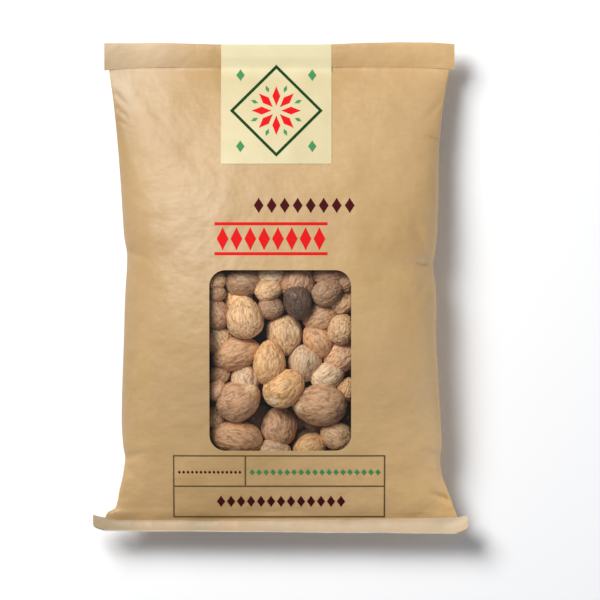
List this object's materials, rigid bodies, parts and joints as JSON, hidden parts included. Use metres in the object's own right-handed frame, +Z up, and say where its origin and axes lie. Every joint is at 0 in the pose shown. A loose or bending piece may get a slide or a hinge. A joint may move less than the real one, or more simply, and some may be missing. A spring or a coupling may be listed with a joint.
{
  "type": "window pack of whole nutmegs",
  "caption": "Kraft paper pillow pack filled with whole nutmegs that show behind a clear front window, with a folded top band, a cream label and a curled bottom seal.",
  "frame": {"origin": "on the surface that the pack lies on, under the middle of the pack's box", "axes": "+Z up out of the pack's front, +Y to the pack's top edge, +X to the right of its front"},
  "size_m": [0.1988, 0.261, 0.0509],
  "materials": {
    "kraft_paper": "matte brown paper with fine fibres and soft crumples",
    "label_paper": "smooth satin cream paper",
    "clear_film": "clear glossy film",
    "nutmeg": "matte ridged brown seed"
  },
  "bodies": {
    "root": {"paper_bag": "kraft_paper", "window_film": "clear_film", "nutmegs": "nutmeg", "front_label": "label_paper"}
  },
  "joints": []
}
